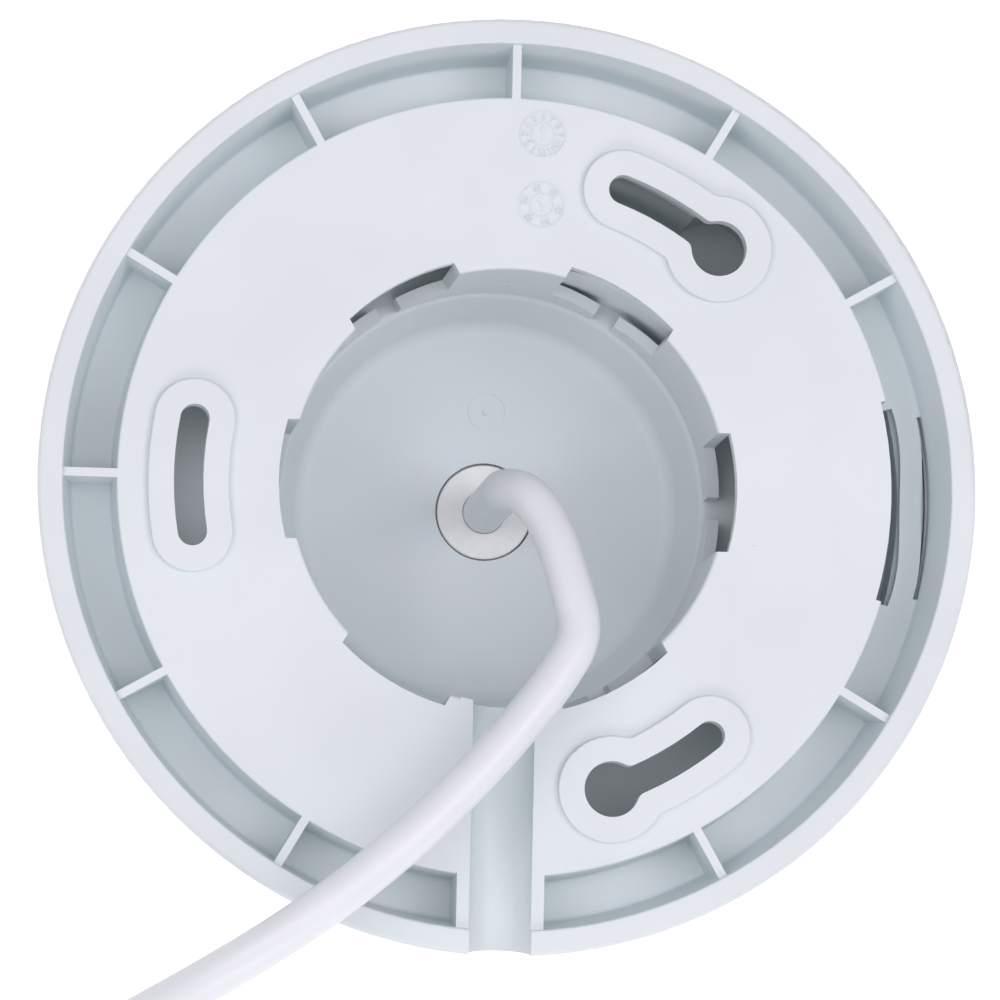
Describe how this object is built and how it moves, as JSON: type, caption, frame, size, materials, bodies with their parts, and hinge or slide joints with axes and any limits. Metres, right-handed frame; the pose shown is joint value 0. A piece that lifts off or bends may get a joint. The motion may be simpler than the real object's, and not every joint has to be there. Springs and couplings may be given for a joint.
{
  "type": "heat detector",
  "caption": "Round ceiling heat detector with twist-lock mounting base, open sensor cage, test button and a pre-wired lead that leaves through the recessed back.",
  "frame": {"origin": "centre of the round body, on the surface that the sensor cage rests on (free lead left out)", "axes": "+Z from the sensor cage towards the ceiling face of the mounting base; the cable groove lies along -Y and the springy latch strip along +X"},
  "size_m": [0.1985, 0.1577, 0.0713],
  "materials": {
    "base_plastic": "satin, fine spark texture",
    "housing_plastic": "satin",
    "cover_plastic": "satin",
    "grommet_rubber": "matt",
    "seal_rubber": "matt",
    "lead_sheath": "satin gloss",
    "core_insulation": "satin",
    "ferrule_metal": "tinned",
    "collar_plastic": "satin",
    "tie_plastic": "satin",
    "board_laminate": "solder mask",
    "component_plastic": "moulded",
    "component_metal": "satin",
    "chip_ceramic": "matt",
    "connector_plastic": "satin",
    "bead_epoxy": "glossy",
    "lamp_plastic": "clear",
    "button_plastic": "satin",
    "spring_steel": "drawn wire",
    "screw_steel": "zinc plated"
  },
  "bodies": {
    "base": {"mounting_base": "base_plastic"},
    "head": {"rear_housing": "housing_plastic", "lead_grommet": "grommet_rubber", "front_cover": "cover_plastic", "cover_seal": "seal_rubber", "sensor_cage": "cover_plastic", "sensing_thermistor": "bead_epoxy", "reference_thermistor": "bead_epoxy", "circuit_board": "board_laminate", "lead_header": "connector_plastic", "lead_plug": "connector_plastic", "inner_cores": "core_insulation", "sheath_stub": "lead_sheath", "strain_tie": "tie_plastic", "relay": "component_plastic", "capacitor": "component_metal", "microcontroller": "component_plastic", "chip_components": "chip_ceramic", "rectifier": "component_plastic", "status_led": "lamp_plastic", "light_pipe": "lamp_plastic", "tact_switch": "component_metal", "button_spring": "spring_steel", "board_screws": "screw_steel", "cover_screws": "screw_steel", "lead_tube": "lead_sheath", "lead_coil": "lead_sheath", "coil_tie": "tie_plastic", "lead_end": "lead_sheath", "end_collar": "collar_plastic", "core_tails": "core_insulation", "core_ferrules": "ferrule_metal"},
    "button": {"test_button": "button_plastic"}
  },
  "joints": [
    {"name": "head_twist", "type": "hinge", "parent": "base", "child": "head", "pos_m": [0, 0, 0.046], "axis": [0, 0, -1], "range_deg": [0, 18]},
    {"name": "button_press", "type": "slide", "parent": "head", "child": "button", "axis": [0, 0, 1], "range_m": [0, 0.0011], "stiffness_N_per_m": 900, "springref_m": -0.0006, "deforming": ["button_spring"]}
  ]
}
